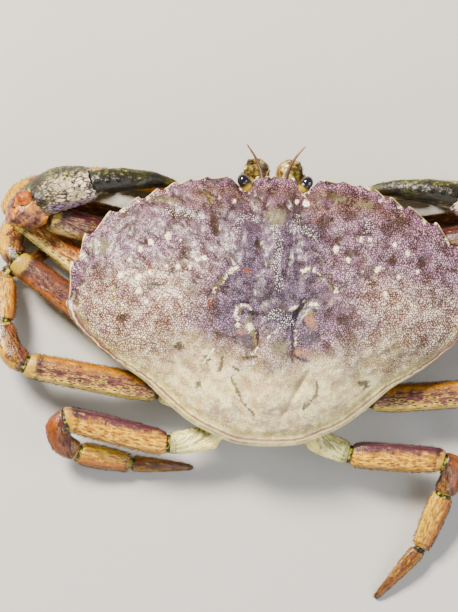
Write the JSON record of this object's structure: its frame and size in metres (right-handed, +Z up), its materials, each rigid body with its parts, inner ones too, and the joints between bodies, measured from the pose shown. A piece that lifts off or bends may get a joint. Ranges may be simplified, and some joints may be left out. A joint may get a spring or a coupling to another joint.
{
  "type": "dungeness crab",
  "caption": "Still, life-size museum model of a live crab crouching on the floor, its claws folded in front and its legs tucked at its sides.",
  "frame": {"origin": "on the floor, under the middle of the crab's box", "axes": "+X towards the crab's right side, across its widest span; +Y the way it faces; +Z up"},
  "size_m": [0.2382, 0.196, 0.0584],
  "materials": {
    "back_shell": "dotted mauve and cream shell, slightly rough",
    "belly_shell": "cream underside shell",
    "leg_hip_shell": "pale hip shell",
    "leg_shell": "mauve shell with an amber front edge",
    "leg_wrist_shell": "brown mauve shell",
    "leg_amber_shell": "smooth amber shell",
    "toe_shell": "horn-coloured toe with a dark tip",
    "wrist_shell": "granular wrist shell",
    "palm_shell": "ridged cream palm with dark net lines",
    "finger_shell": "toothed finger with a pale tip",
    "mouth_shell": "pale flap with an orange rim",
    "feeler_shell": "thin horn-coloured feeler",
    "eye_glass": "glossy dark cornea"
  },
  "bodies": {
    "root": {"carapace": "back_shell", "thorax": "belly_shell", "abdomen": "belly_shell", "eye_left": "eye_glass", "eye_right": "eye_glass", "antenna_left": "feeler_shell", "antenna_right": "feeler_shell", "maxilliped_left": "mouth_shell", "maxilliped_right": "mouth_shell", "left_claw_base": "leg_hip_shell", "left_claw_merus": "leg_shell", "left_claw_carpus": "wrist_shell", "left_claw_hand": "palm_shell", "left_claw_finger": "finger_shell", "left_leg1_base": "leg_hip_shell", "left_leg1_merus": "leg_shell", "left_leg1_carpus": "leg_wrist_shell", "left_leg1_propodus": "leg_amber_shell", "left_leg1_dactyl": "toe_shell", "left_leg2_base": "leg_hip_shell", "left_leg2_merus": "leg_shell", "left_leg2_carpus": "leg_wrist_shell", "left_leg2_propodus": "leg_amber_shell", "left_leg2_dactyl": "toe_shell", "left_leg3_base": "leg_hip_shell", "left_leg3_merus": "leg_shell", "left_leg3_carpus": "leg_wrist_shell", "left_leg3_propodus": "leg_amber_shell", "left_leg3_dactyl": "toe_shell", "left_leg4_base": "leg_hip_shell", "left_leg4_merus": "leg_shell", "left_leg4_carpus": "leg_wrist_shell", "left_leg4_propodus": "leg_amber_shell", "left_leg4_dactyl": "toe_shell", "right_claw_base": "leg_hip_shell", "right_claw_merus": "leg_shell", "right_claw_carpus": "wrist_shell", "right_claw_hand": "palm_shell", "right_claw_finger": "finger_shell", "right_leg1_base": "leg_hip_shell", "right_leg1_merus": "leg_shell", "right_leg1_carpus": "leg_wrist_shell", "right_leg1_propodus": "leg_amber_shell", "right_leg1_dactyl": "toe_shell", "right_leg2_base": "leg_hip_shell", "right_leg2_merus": "leg_shell", "right_leg2_carpus": "leg_wrist_shell", "right_leg2_propodus": "leg_amber_shell", "right_leg2_dactyl": "toe_shell", "right_leg3_base": "leg_hip_shell", "right_leg3_merus": "leg_shell", "right_leg3_carpus": "leg_wrist_shell", "right_leg3_propodus": "leg_amber_shell", "right_leg3_dactyl": "toe_shell", "right_leg4_base": "leg_hip_shell", "right_leg4_merus": "leg_shell", "right_leg4_carpus": "leg_wrist_shell", "right_leg4_propodus": "leg_amber_shell", "right_leg4_dactyl": "toe_shell"}
  },
  "joints": []
}
